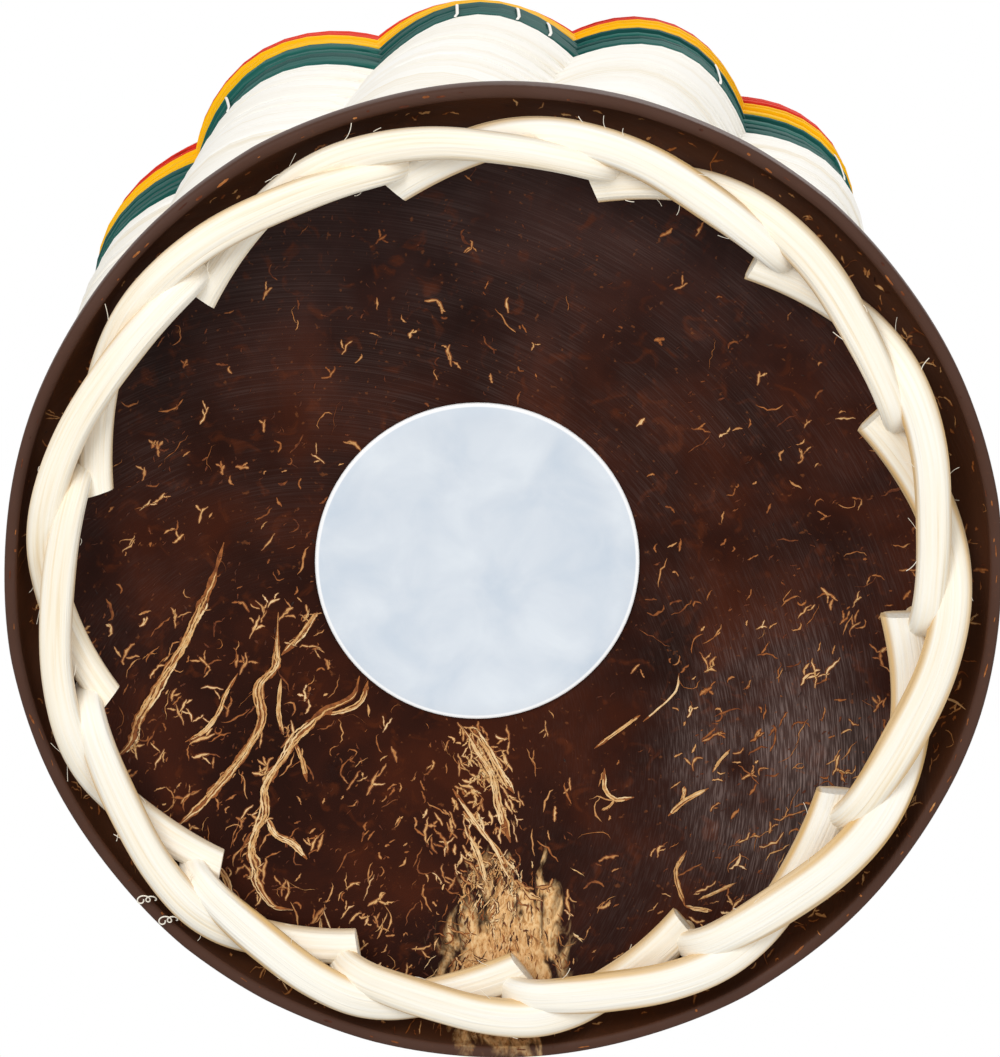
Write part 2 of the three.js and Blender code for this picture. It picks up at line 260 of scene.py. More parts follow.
class Skin:
    """Bars, ribbons and grids of one mesh, with places along their fibres and tints."""

    def __init__(self):
        self.points = []
        self.faces = []
        self.fibres = []
        self.tints = []
        self.count = 0

    def add_vertices(self, points, fibre, tint):
        start = self.count
        self.points.append(points)
        self.fibres.append(fibre)
        self.tints.append(np.full(len(points), tint))
        self.count += len(points)
        return start

    def bar(self, path, normals, sections, closed=False, tint=MIDDLE_TINT, shift=0.0, cut=0.0):
        """Sweeps sections of (across, out) pairs along a path; out leans to the normals."""
        if closed:
            along = unit(np.roll(path, -1, 0) - np.roll(path, 1, 0))
        else:
            along = unit(np.gradient(path, axis=0))
        across = unit(np.cross(along, normals))
        out = np.cross(across, along)
        sections = np.broadcast_to(sections, (len(path),) + np.shape(sections)[-2:])
        rings = path[:, None] + sections[..., :1] * across[:, None]
        rings = rings + sections[..., 1:] * out[:, None]
        rings[-1] += along[-1] * sections[-1, :, :1] * cut
        sides = rings.shape[1]
        lengths = np.broadcast_to((run_lengths(path) + shift)[:, None, None], rings.shape[:2] + (1,))
        fibre = np.concatenate([sections, lengths], 2)
        start = self.add_vertices(rings.reshape(-1, 3), fibre.reshape(-1, 3), tint)
        spans = len(path) if closed else len(path) - 1
        for i in range(spans):
            here = start + i * sides
            there = start + ((i + 1) % len(path)) * sides
            for j in range(sides):
                k = (j + 1) % sides
                self.faces.append((here + j, there + j, there + k, here + k))
        if not closed:
            for ring, fibres, order in ((rings[0], fibre[0], 1), (rings[-1], fibre[-1], -1)):
                cap = self.add_vertices(ring, fibres, tint)
                self.faces.append(tuple(range(cap, cap + sides))[::order])

    def ribbon(self, path, widths, normals, tint):
        """A flat strip along a path, tapering as its widths do."""
        along = unit(np.gradient(path, axis=0))
        side = unit(np.cross(along, normals)) * (np.asarray(widths) / 2)[:, None]
        points = np.stack([path - side, path + side], 1).reshape(-1, 3)
        start = self.add_vertices(points, points, tint)
        for i in range(len(path) - 1):
            at = start + 2 * i
            self.faces.append((at, at + 1, at + 3, at + 2))

    def grid(self, rings, last_cap=True):
        """A skin over rings of points, closed at its first ring and, if wanted, at its last."""
        count, sides = np.shape(rings)[:2]
        points = np.concatenate(rings)
        start = self.add_vertices(points, points, MIDDLE_TINT)
        for i in range(count - 1):
            at = start + i * sides
            for j in range(sides):
                k = (j + 1) % sides
                self.faces.append((at + j, at + k, at + sides + k, at + sides + j))
        self.faces.append(tuple(range(start, start + sides))[::-1])
        if last_cap:
            self.faces.append(tuple(range(self.count - sides, self.count)))

    def piece(self, name, material, nodes=(), body="basket"):
        mesh = bpy.data.meshes.new(name)
        mesh.from_pydata(np.concatenate(self.points).tolist(), [], self.faces)
        fibre = mesh.attributes.new("fibre", "FLOAT_VECTOR", "POINT")
        fibre.data.foreach_set("vector", np.concatenate(self.fibres).astype(np.float32).ravel())
        tint = mesh.attributes.new("tint", "FLOAT", "POINT")
        tint.data.foreach_set("value", np.concatenate(self.tints).astype(np.float32))
        mesh.polygons.foreach_set("use_smooth", [True] * len(mesh.polygons))
        mesh.materials.append(material)
        obj = add_object(name, mesh)
        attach(obj, body)
        if nodes:
            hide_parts(*nodes)


# Surfaces
def colour(red, green, blue):
    """A colour of a screen, 0 to 255, in the linear values that light uses."""
    parts = []
    for part in (red / 255, green / 255, blue / 255):
        parts.append(part / 12.92 if part < 0.04045 else ((part + 0.055) / 1.055) ** 2.4)
    return tuple(parts) + (1,)


def even(scale):
    """The same scale along all three axes."""
    return (scale, scale, scale)


class Nodes:
    """Shader nodes, joined one after another."""

    def __init__(self, tree):
        self.tree = tree

    def new(self, kind, inputs=()):
        node = self.tree.nodes.new("ShaderNode" + kind)
        for socket, value in dict(inputs).items():
            self.set(node.inputs[socket], value)
        return node

    def set(self, socket, value):
        if isinstance(value, bpy.types.NodeSocket):
            self.tree.links.new(value, socket)
        else:
            socket.default_value = value

    def maths(self, operation, first, second=0.0, clamp=False):
        node = self.new("Math", {0: first, 1: second})
        node.operation = operation
        node.use_clamp = clamp
        return node.outputs[0]

    def times(self, first, second, clamp=False):
        return self.maths("MULTIPLY", first, second, clamp)

    def plus(self, first, second):
        return self.maths("ADD", first, second)


class Surface(Nodes):
    """A procedural material; its places are those along the fibres of a skin."""

    def __init__(self, name, roughness, specular):
        self.material = bpy.data.materials.new(name)
        self.material.use_nodes = True
        super().__init__(self.material.node_tree)
        self.shader = self.tree.nodes["Principled BSDF"]
        self.set(self.shader.inputs["Roughness"], roughness)
        self.set(self.shader.inputs["Specular IOR Level"], specular)
        self.place = self.attribute("fibre", "Vector")

    def attribute(self, name, output):
        node = self.new("Attribute")
        node.attribute_name = name
        return node.outputs[output]

    def vector(self, operation, first, second=(0, 0, 0)):
        node = self.new("VectorMath", {0: first, 1: second})
        node.operation = operation
        return node.outputs["Value" if operation == "LENGTH" else "Vector"]

    def flat(self, vector):
        """A vector as it is seen along the axis."""
        return self.vector("MULTIPLY", vector, (1, 1, 0))

    def length(self, vector):
        return self.vector("LENGTH", vector)

    def axes(self, vector):
        return self.new("SeparateXYZ", {0: vector}).outputs

    def noise(self, scale, detail, warp=0.0, place=None):
        """Noise with so many waves in a metre along each axis."""
        place = self.vector("MULTIPLY", place or self.place, scale)
        inputs = {"Vector": place, "Scale": 1.0, "Detail": detail, "Distortion": warp}
        return self.new("TexNoise", inputs).outputs["Fac"]

    def ramp(self, share, stops):
        node = self.new("ValToRGB", {"Fac": share})
        elements = node.color_ramp.elements
        while len(elements) < len(stops):
            elements.new(0.5)
        for element, (place, tone) in zip(elements, stops):
            element.position = place
            element.color = colour(*tone)
        return node.outputs["Color"]

    def level(self, value, low, high):
        """0 below low, 1 above high."""
        node = self.new("MapRange", {"Value": value, "From Min": low, "From Max": high})
        node.interpolation_type = "SMOOTHSTEP"
        return node.outputs["Result"]

    def mix(self, share, first, second):
        node = self.new("Mix")
        node.data_type = "RGBA"
        inputs = [socket for socket in node.inputs if socket.enabled]
        for socket, value in zip(inputs, (share, first, second)):
            self.set(socket, value)
        return next(socket for socket in node.outputs if socket.enabled)

    def finish(self, tone, height=None, depth=0.0):
        self.set(self.shader.inputs["Base Color"], tone)
        if height is not None:
            bump = self.new("Bump", {"Height": height, "Distance": depth, "Strength": 1.0})
            self.set(self.shader.inputs["Normal"], bump.outputs["Normal"])
        return self.material


# Split cane and palm strip: fine and broad grain, and the shares that make up the tone
GRAIN = 0.3 * MM
GRAIN_LENGTH = 14 * MM
FINE_GRAIN = (1 / GRAIN, 1 / GRAIN, 1 / GRAIN_LENGTH)
BROAD_GRAIN = (0.12 / GRAIN, 0.12 / GRAIN, 0.5 / GRAIN_LENGTH)
FINE_SHARE = 0.6
BROAD_SHARE = 0.4
OWN_SHARE = 0.5
TONE_STOPS = (0.2, 0.42, 0.6, 0.85)
CANE_RELIEF = 0.12 * MM
STRIP_RELIEF = 0.08 * MM
# Across a cane, where the painted shade on its flanks begins and where it is full
PAINTED_SHADE_FLANK = (0.36 * STRAND_WIDTH, 0.52 * STRAND_WIDTH)


def fibrous(name, tones, depth, painted_shade_tone=None):
    """Streaks along the length, each strip its own tone, and painted shade on the flanks and back side
    where a shade tone is given.
    """
    look = Surface(name, 0.62, 0.06)
    streaks = look.noise(FINE_GRAIN, 3.0)
    patches = look.noise(BROAD_GRAIN, 2.0)
    own = look.times(look.attribute("tint", "Fac"), OWN_SHARE)
    tone = look.plus(look.times(streaks, FINE_SHARE), look.times(patches, BROAD_SHARE))
    tone = look.plus(tone, look.maths("SUBTRACT", own, OWN_SHARE * MIDDLE_TINT))
    shade = look.ramp(tone, list(zip(TONE_STOPS, tones)))
    if painted_shade_tone:
        # Painted shade: a cane's flanks and back turn to the shade tone, as if in the crevices between
        # canes
        axes = look.axes(look.place)
        flank = look.level(look.maths("ABSOLUTE", axes["X"]), *PAINTED_SHADE_FLANK)
        behind = look.level(look.times(axes["Y"], -1.0), 0.0, STRAND_THICKNESS / 2)
        in_painted_shade = look.maths("MAXIMUM", flank, behind)
        broken = look.times(in_painted_shade, look.plus(patches, 0.35), True)
        shade = look.mix(broken, shade, painted_shade_tone)
    return look.finish(shade, streaks, depth)


CANE_TONES = [(236, 212, 168), (253, 243, 222), (255, 250, 237), (255, 253, 248)]
STRIP_TONES = {
    "weave_cream": [(236, 222, 194), (250, 245, 234), (254, 251, 244), (255, 254, 250)],
    "weave_green": [(8, 38, 36), (18, 70, 65), (28, 90, 82), (62, 124, 112)],
    "weave_yellow": [(216, 138, 4), (250, 182, 5), (255, 194, 12), (255, 210, 64)],
    "weave_red": [(150, 24, 16), (218, 50, 34), (230, 66, 44), (240, 110, 84)],
}
# The last colour is painted shade, laid on the flanks and backs of the canes
CANE = fibrous("cane", CANE_TONES, CANE_RELIEF, colour(226, 186, 124))
STRIPS = {name: fibrous(name, tones, STRIP_RELIEF) for name, tones in STRIP_TONES.items()}

# Shell: cool brown at the top of the view, warm below, with sanding lines under a painted sheen, a wall
# made paler by painted light, and a pale patch
COOL_TONES = [(0.3, (28, 14, 12)), (0.5, (40, 23, 20)), (0.7, (53, 33, 29))]
WARM_TONES = [(0.3, (27, 7, 2)), (0.5, (43, 16, 7)), (0.7, (62, 25, 10))]
WARM_START = (-42 * MM, -10 * MM)
SANDING_CENTRE = (-18 * MM, 22 * MM, 0.0)
SANDING_REACH = (14 * MM, 40 * MM)
SANDING_LINE = 0.14 * MM
SANDING_TURN = 20
LINE_SHARE = 0.8
# Painted sheen: a pale grey laid over the sanding lines, strongest about this point, with a little
# everywhere
SHEEN_CENTRE = (30 * MM, 21 * MM, 0.0)
SHEEN_REACH = (4 * MM, 21 * MM)
SHEEN_STRENGTH = 0.85
SHEEN_ELSEWHERE = 0.09
PATCH_CENTRE = (0.0, 43 * MM, 0.0)
PATCH_SIZE = (7 * MM, 10.5 * MM, 1.0)
PATCH_TONES = [(0.3, (164, 110, 60)), (0.44, (222, 170, 110)), (0.62, (246, 206, 150))]
# How far the painted light on the wall under the rim fades in and out
PAINTED_LIGHT_BLEND = 1.5 * MM
RIM_BLEND = (RIM_INSIDE - 0.3 * MM, RIM_INSIDE + 0.2 * MM)
CLOUDED = 0.8

# Its noises: waves in a metre, detail and warp
NOISES = {
    "clouds": (even(75), 5.0, 0.6),
    "rust": (even(420), 4.0, 1.0),
    "specks": (even(1500), 2.0),
    "worn": (even(110), 3.0),
    "ragged": ((420, 170, 200), 7.0, 1.2),
    "fibres": ((2600, 1300, 1300), 4.0, 0.8),
}


def sanding_and_painted_sheen(look):
    """Fine sanding lines in arcs about a point, and the mask of a painted sheen over them, strongest
    about SHEEN_CENTRE and faint elsewhere.
    """
    spread = look.flat(look.vector("SUBTRACT", look.place, SANDING_CENTRE))
    distance = look.length(spread)
    across = look.new("CombineXYZ", {"X": look.maths("DIVIDE", distance, SANDING_LINE)})
    turn = look.vector("MULTIPLY", look.vector("NORMALIZE", spread), even(SANDING_TURN))
    arcs = look.vector("ADD", turn, across.outputs["Vector"])
    lines = look.noise(even(1), 3.0, 0.3, arcs)
    bright = look.plus(look.times(look.level(lines, 0.42, 0.7), LINE_SHARE), 1 - LINE_SHARE)
    sheen = look.length(look.vector("SUBTRACT", look.place, SHEEN_CENTRE))
    sheen = look.maths("SUBTRACT", 1.0, look.level(sheen, *SHEEN_REACH))
    strength = look.plus(look.times(sheen, SHEEN_STRENGTH), SHEEN_ELSEWHERE)
    strength = look.times(strength, look.level(distance, *SANDING_REACH))
    # This noise breaks the painted sheen into patches
    worn = look.level(look.noise(*NOISES["worn"]), 0.3, 0.6)
    return lines, look.times(bright, look.times(strength, worn))


def pale_patch(look):
    """Where the pale husk shows, with a ragged edge."""
    spot = look.vector("SUBTRACT", look.place, PATCH_CENTRE)
    spot = look.length(look.flat(look.vector("DIVIDE", spot, PATCH_SIZE)))
    ragged = look.times(look.noise(*NOISES["ragged"]), 2.6)
    return look.level(look.maths("SUBTRACT", ragged, spot), 0.25, 0.75)


def shell_surface():
    look = Surface("coconut_shell", 0.45, 0.06)
    place = look.place
    low = look.level(look.axes(place)["Y"], *WARM_START)
    clouds = look.noise(*NOISES["clouds"])
    tone = look.mix(low, look.ramp(clouds, COOL_TONES), look.ramp(clouds, WARM_TONES))
    rust = look.level(look.noise(*NOISES["rust"]), 0.55, 0.75)
    tone = look.mix(look.times(rust, 0.5), tone, colour(86, 38, 14))
    lines, sheen = sanding_and_painted_sheen(look)
    # Painted sheen: pale grey where the sanded shell would reflect the lamps
    tone = look.mix(sheen, tone, colour(140, 120, 114))
    specks = look.level(look.noise(*NOISES["specks"]), 0.66, 0.76)
    tone = look.mix(look.times(specks, 0.45), tone, colour(128, 74, 40))
    radius = look.length(look.flat(place))
    # Painted light: the wall between the floor and the rim is made paler brown, as if the lamps lit it
    wall = look.level(radius, FLOOR_EDGE - PAINTED_LIGHT_BLEND, FLOOR_EDGE + PAINTED_LIGHT_BLEND)
    tone = look.mix(look.times(wall, 0.65), tone, colour(84, 52, 34))
    husk = look.ramp(look.noise(*NOISES["fibres"]), PATCH_TONES)
    tone = look.mix(look.times(pale_patch(look), 0.96), tone, husk)
    cloudy = look.plus(look.times(clouds, CLOUDED), 1 - CLOUDED)
    rim = look.times(look.level(radius, *RIM_BLEND), cloudy)
    tone = look.mix(rim, tone, colour(84, 62, 54))
    return look.finish(tone, lines, depth=0.03 * MM)


# Clouded pale blue, with a thin white ring along the edge that is a painted highlight
LABEL_TONES = [(0.3, (202, 213, 225)), (0.5, (214, 222, 231)), (0.7, (224, 231, 238))]
LABEL_PAINTED_HIGHLIGHT = (0.972 * LABEL_RADIUS, 0.982 * LABEL_RADIUS)


def label_surface():
    look = Surface("label", 0.35, 0.4)
    clouds = look.noise(even(150), 5.0, 0.4)
    from_middle = look.vector("ADD", look.place, (LABEL_OFFSET, 0, 0))
    # Painted highlight: a thin white ring just inside the label's edge
    edge = look.level(look.length(look.flat(from_middle)), *LABEL_PAINTED_HIGHLIGHT)
    return look.finish(look.mix(edge, look.ramp(clouds, LABEL_TONES), colour(250, 251, 252)))


FLECK_TONES = [
    (0.05, (30, 13, 7)),
    (0.28, (96, 44, 17)),
    (0.5, (166, 100, 48)),
    (0.74, (216, 168, 108)),
    (0.95, (242, 212, 164)),
]
FLECK_STREAKS = 0.5


def fleck_surface():
    look = Surface("shell_fibre", 0.5, 0.2)
    streaks = look.noise(even(1500), 3.0)
    tone = look.plus(look.attribute("tint", "Fac"), look.times(streaks, FLECK_STREAKS))
    tone = look.maths("SUBTRACT", tone, FLECK_STREAKS / 2)
    return look.finish(look.ramp(tone, FLECK_TONES), streaks, depth=0.05 * MM)


SEED_TONES = [(0.35, (60, 38, 22)), (0.55, (112, 80, 50)), (0.75, (150, 116, 78))]


def seed_surface():
    look = Surface("seed", 0.45, 0.35)
    mottle = look.noise(even(900), 4.0, 0.8)
    return look.finish(look.ramp(mottle, SEED_TONES), mottle, depth=0.1 * MM)


# Coconut shell, in rings from the middle of its hollow round the rim to the middle of its top
SHELL_SIDES = 288
FLOOR_RINGS = 60
WALL_RINGS = 16
SHOULDER_RINGS = 10
TOP_RINGS = 8
MIDDLE_SHARE = 0.004


def shell_profile():
    """Distances from the axis and heights of the rings."""
    profile = []
    for radius in FLOOR_EDGE * np.linspace(MIDDLE_SHARE, 1, FLOOR_RINGS):
        profile.append((radius, floor_height(radius)))
    for turn in np.linspace(0, QUARTER, WALL_RINGS)[1:]:
        radius = FLOOR_EDGE + RIM_WALL_RUN * math.sin(turn)
        profile.append((radius, RIM_HEIGHT + (EDGE_HEIGHT - RIM_HEIGHT) * math.cos(turn)))
    for inwards, upwards in ((1, 0), (0.3, 0.3), (0, 1)):
        profile.append((SHELL_RADIUS - RIM_BEVEL * inwards, RIM_HEIGHT + RIM_BEVEL * upwards))
    shoulder = RIM_HEIGHT + RIM_EDGE_HEIGHT
    rise = EDGE_HEIGHT + SHELL_WALL - shoulder
    for turn in np.linspace(0, QUARTER, SHOULDER_RINGS):
        radius = FLOOR_EDGE + (SHELL_RADIUS - FLOOR_EDGE) * math.cos(turn)
        profile.append((radius, shoulder + rise * math.sin(turn)))
    for radius in FLOOR_EDGE * np.linspace(0.9, MIDDLE_SHARE, TOP_RINGS):
        profile.append((radius, floor_height(radius) + SHELL_WALL))
    return profile


def build_shell():
    turn = round_turns(SHELL_SIDES)
    rings = []
    for radius, height in shell_profile():
        wave = unevenness(radius, turn)
        rings.append(polar(radius - np.abs(wave), turn, height + wave))
    skin = Skin()
    skin.grid(rings)
    skin.piece("shell", shell_surface(), ["shell_base"])


build_shell()

# Tilt of the view onto the base
VIEW_TILT = math.radians(13)


def seen_at(marks):
    """Places in plan of marks that are seen so far right and up of the middle, in millimetres."""
    marks = np.asarray(marks, dtype=float) * MM
    right, up = marks[:, 0], marks[:, 1]
    side = -up
    for _ in range(4):
        height = under_height(np.hypot(right, side))
        side = ((height - RIM_HEIGHT) * math.sin(VIEW_TILT) - up) / math.cos(VIEW_TILT)
    return np.stack([right, side], 1)


# Long veins in the shell: widths, and points right and up of the middle, in millimetres
VEINS = [
    (1.0, [(-29.5, 3.9), (-30.8, -0.3), (-32.2, -3.5), (-33.7, -6.7), (-35.6, -9.8), (-37.3, -12.7),
        (-38.8, -15.3), (-39.4, -17.3), (-41.2, -19.2)]),
    (0.9, [(-23.8, -3.5), (-24, -7.8), (-24.2, -9.5), (-25.9, -11.5), (-25.6, -14.9), (-27.2, -18.1),
        (-29.3, -20.9), (-31.5, -23.4), (-33.2, -25.1), (-34.9, -26.5)]),
    (0.6, [(-19.7, -3.5), (-20.3, -4.4), (-21.6, -6.1), (-23.5, -8.1)]),
    (0.9, [(-15.2, -10.3), (-16, -12.5), (-18.9, -14), (-20.6, -15.6), (-22.1, -17.1), (-23.3, -19),
        (-25.2, -21.9), (-25.3, -24.8), (-26.2, -26.7), (-26.8, -29), (-26.2, -30.9), (-26.2, -32.3),
        (-24.4, -34.8), (-22.3, -35.3)]),
    (0.5, [(-14.3, -10.8), (-15, -13), (-16.7, -14), (-18.9, -14.4)]),
    (0.6, [(-25.2, -25.1), (-24.2, -27.1), (-22.3, -28.2), (-20.8, -29.9)]),
    (0.45, [(-28.1, -10), (-29.4, -12.2), (-30.2, -14.2), (-31.7, -16.2), (-33.7, -17.3)]),
    (0.5, [(-30.3, -30.4), (-29.3, -32.1), (-28.9, -33.8), (-28.6, -36)]),
    (0.35, [(-23.5, -10.3), (-23.8, -14.2), (-23.3, -16.6)]),
    (0.4, [(-22.2, -17.1), (-21.4, -19.2), (-20.8, -21.6)]),
    (0.8, [(-4.4, -15.6), (-1.3, -20.5), (-0.4, -24.1), (0.9, -28.2)]),
    (0.7, [(-3.2, -15.6), (-1.5, -18.1), (0.1, -21), (1.3, -22.9)]),
    (0.6, [(-5.3, -22.4), (-2.3, -26.7), (-0.4, -29.3), (1.1, -32.5)]),
    (0.55, [(-3.6, -27.2), (-2.5, -29.5), (-1.5, -32.9)]),
    (0.16, [(18.8, -10), (18.4, -12), (16.4, -14), (15, -15.2)]),
    (0.32, [(14.7, -14.5), (12.9, -15.8), (9.8, -18.1)]),
    (0.42, [(10.9, -20.2), (11, -22.4), (12.1, -23.5), (14.1, -23.3)]),
    (0.22, [(12.1, -23.5), (11.4, -24.3), (10.6, -24.7)]),
    (0.42, [(22, -22.3), (19.3, -23.8), (17.7, -25.3)]),
    (0.36, [(19.4, -22.1), (19.4, -23), (19.1, -23.8)]),
    (0.26, [(24.3, -18.1), (23.3, -19.2), (22.4, -20.6)]),
    (0.42, [(19.7, -29), (18.6, -30.9), (18.8, -32.7), (19.5, -34.9)]),
    (0.3, [(25, -32.4), (22.9, -33.4), (20.9, -34.3)]),
    (0.36, [(19.5, -34.9), (21, -35.3), (22.4, -35.4)]),
]
LIFT = 0.03 * MM
VEIN_STEPS = 14
VEIN_WAVER = 4
GROUND_EDGE = 0.05 * MM
FIBRE_LEAST = 0.1 * MM


def uneven(count, low, high, reach):
    """Values between two limits that change slowly along a fibre."""
    values = np.array([uniform(low, high) for _ in range(count + reach)])
    return np.convolve(values, np.ones(reach) / reach, "same")[:count]


def draw_vein(skin, width, marks):
    """A bundle of thin fibres that part and meet, on a brown ground."""
    plan = seen_at(smooth_path(marks, VEIN_STEPS))
    count = len(plan)
    along = unit(np.gradient(plan, axis=0))
    beside = np.stack([-along[:, 1], along[:, 0]], 1) * width * MM
    from_end = np.minimum(np.linspace(0, 1, count), np.linspace(1, 0, count))
    taper = np.minimum(1, 6 * from_end + 0.1)
    points, normals = on_shell(plan, LIFT)
    ground = taper * uneven(count, 0.3, 1.5, VEIN_WAVER) * width * MM + GROUND_EDGE
    skin.ribbon(points, ground, normals, tint=0.4)
    fibres = 2 + round(3 * width)
    for fibre in range(fibres):
        start = rng.randrange(count // 4)
        end = count - rng.randrange(count // 4)
        drift = uneven(count, -0.7, 0.7, 13)
        offset = (fibre + 0.5) / fibres - 0.5 + drift
        line = (plan + beside * (offset * taper)[:, None])[start:end]
        points, normals = on_shell(line, (2 + fibre) * LIFT)
        thick = FIBRE_LEAST + 0.5 * width * MM / fibres
        thick = uneven(end - start, 0.1, 1.5, VEIN_WAVER) * thick
        skin.ribbon(points, thick * taper[start:end], normals, uniform(0.62, 0.92))


# Short fibres: how many, their share at the top of the view, lengths, widths, curl, tints and brown edge
FLECKS = [
    (1100, 0.3, (0.25, 1.0), (0.06, 0.2), 0.8, (0.2, 0.42), 0.0),
    (360, 0.0, (1.2, 4), (0.08, 0.17), 1.6, (0.4, 0.72), 0.06),
    (360, 0.08, (0.5, 1.7), (0.08, 0.2), 1.1, (0.48, 0.78), 0.08),
    (70, 0.45, (1.5, 5), (0.05, 0.11), 1.5, (0.4, 0.7), 0.0),
]
FLECK_STEPS = 8
LABEL_CLEARANCE = 0.4 * MM
SPARSE_PLACE = 12 * MM
MIDDLE_WIDTH = 9 * MM
RIGHT_SLANT = math.radians(-38)
LEFT_SLANT = math.radians(-60)
MIDDLE_SLANT = math.radians(66)


def draw_fleck(skin, middle, heading, length, width, curl, tint, halo=0.0):
    """A short fibre about its middle, with a brown edge if wanted; gives its points and headings."""
    turn = heading + np.linspace(-0.5, 0.5, FLECK_STEPS) * curl
    turn = turn + np.array([uniform(-0.45, 0.45) for _ in range(FLECK_STEPS)])
    moves = np.stack([np.cos(turn), np.sin(turn)], 1) * length / FLECK_STEPS
    plan = middle + np.cumsum(moves, 0) - moves.sum(0) / 2
    bulk = 0.1 + np.sin(math.pi * np.linspace(0, 1, FLECK_STEPS)) ** 0.7
    widths = width * bulk * np.array([uniform(0.35, 1.35) for _ in range(FLECK_STEPS)])
    if np.max(np.hypot(plan[:, 0], plan[:, 1])) < RIM_INSIDE:
        if halo > 0:
            points, normals = on_shell(plan, LIFT)
            skin.ribbon(points, widths * 1.3 + halo, normals, uniform(0.22, 0.36))
        points, normals = on_shell(plan, 2 * LIFT)
        skin.ribbon(points, widths, normals, tint)
    return plan, turn


def fleck_place(top_share):
    """A place on the open shell, less often at the top and right of the middle."""
    while True:
        place = np.array([uniform(-1, 1), uniform(-1, 1)]) * RIM_INSIDE
        low = (0.5 + 0.5 * place[1] / RIM_INSIDE) ** 1.5
        from_label = np.hypot(place[0] + LABEL_OFFSET, place[1]) - LABEL_RADIUS
        sparse = math.exp(-((place[0] - SPARSE_PLACE) / SPARSE_PLACE) ** 2)
        chance = (top_share + (1 - top_share) * low) * (0.9 - 0.7 * sparse)
        open_place = np.hypot(*place) < RIM_INSIDE and from_label >= LABEL_CLEARANCE
        if open_place and rng.random() < chance:
            return place


def fleck_tint(place, low, high):
    """A tint between two limits, darker towards the top of the view."""
    return uniform(low, high) - 0.1 * (1 - place[1] / RIM_INSIDE)


def fleck_heading(place):
    """The way the fibres run: slanting on both sides, and down and across at the bottom."""
    if abs(place[0]) > MIDDLE_WIDTH:
        return (RIGHT_SLANT if place[0] > 0 else LEFT_SLANT) + gauss(0, 0.6)
    return MIDDLE_SLANT + gauss(0, 0.5)


def strew_flecks(skin):
    for count, top_share, lengths, widths, curl, tints, halo in FLECKS:
        for _ in range(count):
            place = fleck_place(top_share)
            length = uniform(*lengths) * MM
            width = uniform(*widths) * MM
            bend = gauss(0, curl)
            tint = fleck_tint(place, *tints)
            draw_fleck(skin, place, fleck_heading(place), length, width, bend, tint, halo * MM)


# Forked fibres, every fourth of them in the middle below the label
FORK_COUNT = 370


def draw_branching(skin, middle, heading, length, width, tint):
    bend = gauss(0, 0.8)
    plan, turn = draw_fleck(skin, middle, heading, length, width, bend, tint, halo=0.16 * MM)
    for _ in range(rng.choice((0, 1, 1, 2))):
        at = rng.randrange(2, 6)
        away = turn[at] + rng.choice((-1, 1)) * uniform(0.5, 1.2)
        reach = length * uniform(0.35, 0.7)
        place = plan[at] + heading_to(away) * reach / 2
        bend = gauss(0, 0.5)
        draw_fleck(skin, place, away, reach, width * 0.75, bend, tint, halo=0.12 * MM)


def strew_forks(skin):
    for fork in range(FORK_COUNT):
        if fork % 4 == 0:
            place = np.array([gauss(-2.5, 2.4), uniform(18, 35)]) * MM
        else:
            place = fleck_place(0.0)
        length = (uniform(1.1, 2.3) + 1.8 * rng.random() ** 3) * MM
        width = uniform(0.11, 0.26) * MM
        heading = fleck_heading(place)
        draw_branching(skin, place, heading, length, width, fleck_tint(place, 0.6, 0.92))


# Fibres on the wall under the rim, and those of the pale patch
WALL_FLECKS = 150
WALL_FLECK_RADII = (FLOOR_EDGE + 0.8 * MM, RIM_INSIDE - 0.3 * MM)
PATCH_FLECKS = 420
PATCH_SPREAD = 9 * MM
PATCH_HEADING = math.radians(95)
PATCH_TINTS = (0.15, 0.4, 0.66, 0.72, 0.78, 0.86)


def strew_on_wall(skin):
    for _ in range(WALL_FLECKS):
        turn = uniform(0, FULL_TURN)
        place = uniform(*WALL_FLECK_RADII) * heading_to(turn)
        length = uniform(0.3, 1.5) * MM
        width = uniform(0.1, 0.3) * MM
        heading = turn + gauss(QUARTER, 0.5)
        bend = gauss(0, 0.8)
        tint = uniform(0.4, 0.74)
        draw_fleck(skin, place, heading, length, width, bend, tint, halo=0.1 * MM)


def strew_in_patch(skin):
    for _ in range(PATCH_FLECKS):
        spread = gauss(0, 0.42)
        out = uniform(-1.0, 0.78)
        beside = spread * (0.9 + 0.4 * out) * PATCH_SPREAD
        place = np.array(PATCH_CENTRE[:2]) + np.array([beside, out * PATCH_SIZE[1]])
        heading = PATCH_HEADING - spread * 0.5 + gauss(0, 0.25)
        length = uniform(0.5, 2.4) * MM
        width = uniform(0.06, 0.2) * MM
        draw_fleck(skin, place, heading, length, width, gauss(0, 0.5), rng.choice(PATCH_TINTS))


def build_flecks():
    skin = Skin()
    for width, marks in VEINS:
        draw_vein(skin, width, marks)
    strew_flecks(skin)
    strew_forks(skin)
    strew_on_wall(skin)
    strew_in_patch(skin)
    skin.piece("shell_fibres", fleck_surface())


build_flecks()

# Worn rim: dashes along its edge and a few strokes across it, each in its own part of the round
RIM_MARKS = 130
RIM_BARE = 0.5
MARK_MARGIN = 0.1 * MM
MARK_RADII = (RIM_INSIDE + MARK_MARGIN, SHELL_RADIUS - RIM_BEVEL - MARK_MARGIN)
MARK_SHAPE = np.array([0.3, 1, 0.8, 1, 0.3])


